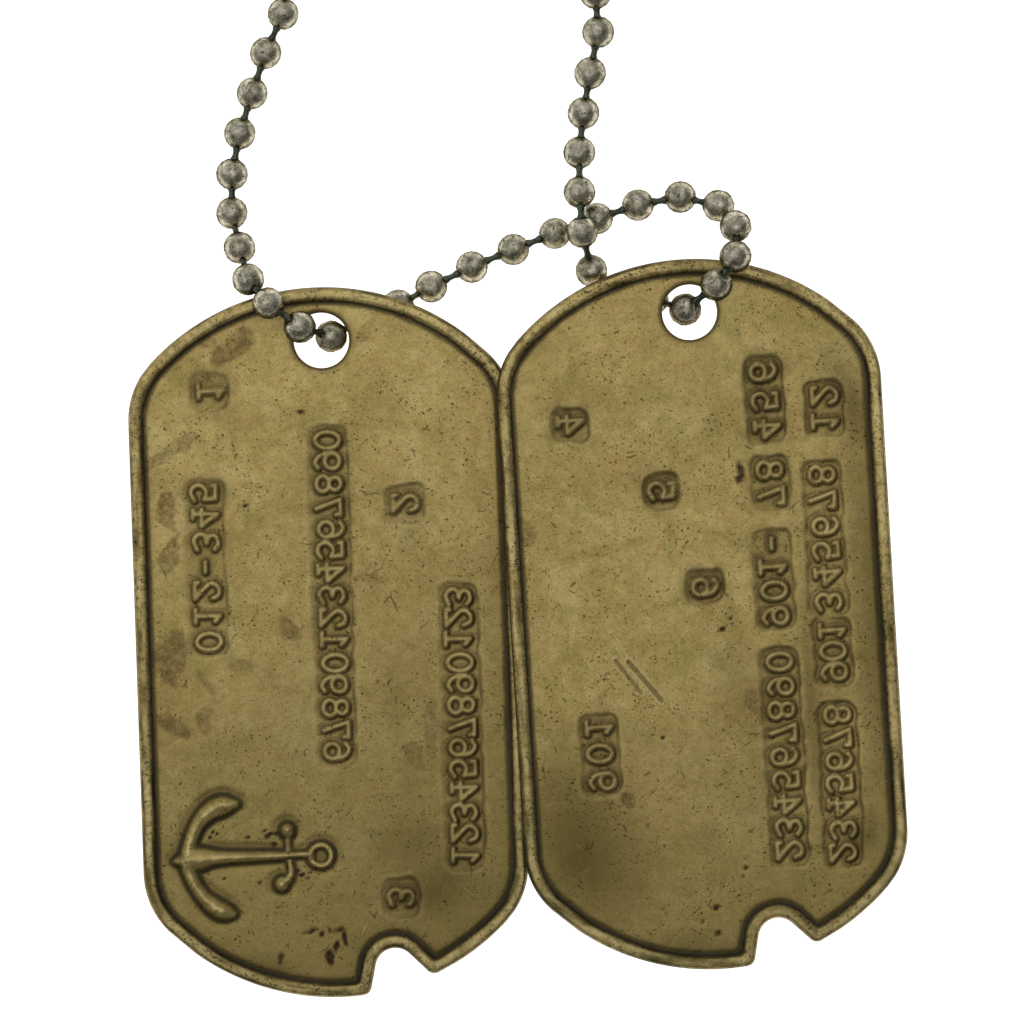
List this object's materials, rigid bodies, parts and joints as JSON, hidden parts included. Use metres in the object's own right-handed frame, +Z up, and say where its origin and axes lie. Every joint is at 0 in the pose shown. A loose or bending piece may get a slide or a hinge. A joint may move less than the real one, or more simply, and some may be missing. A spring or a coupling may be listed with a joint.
{
  "type": "identification dog tags on a ball chain",
  "caption": "Oval stamped identification tags with rolled rims and a notched end, threaded on one closed neck chain of balls, lying flat.",
  "frame": {"origin": "on the surface the tags lie on, under the middle of the whole object's extent", "axes": "+X to the right across the tags, +Y from the notched ends towards the holes and the neck loop, +Z up from the surface"},
  "size_m": [0.1482, 0.2658, 0.0064],
  "materials": {
    "tag_brass": "aged, scratched and darkened",
    "bead_steel": "tarnished plating",
    "link_steel": "dull and dark"
  },
  "bodies": {
    "root": {"anchor_tag": "tag_brass", "number_tag": "tag_brass", "chain_beads": "bead_steel", "chain_wire": "link_steel", "chain_coupling": "bead_steel"}
  },
  "joints": []
}
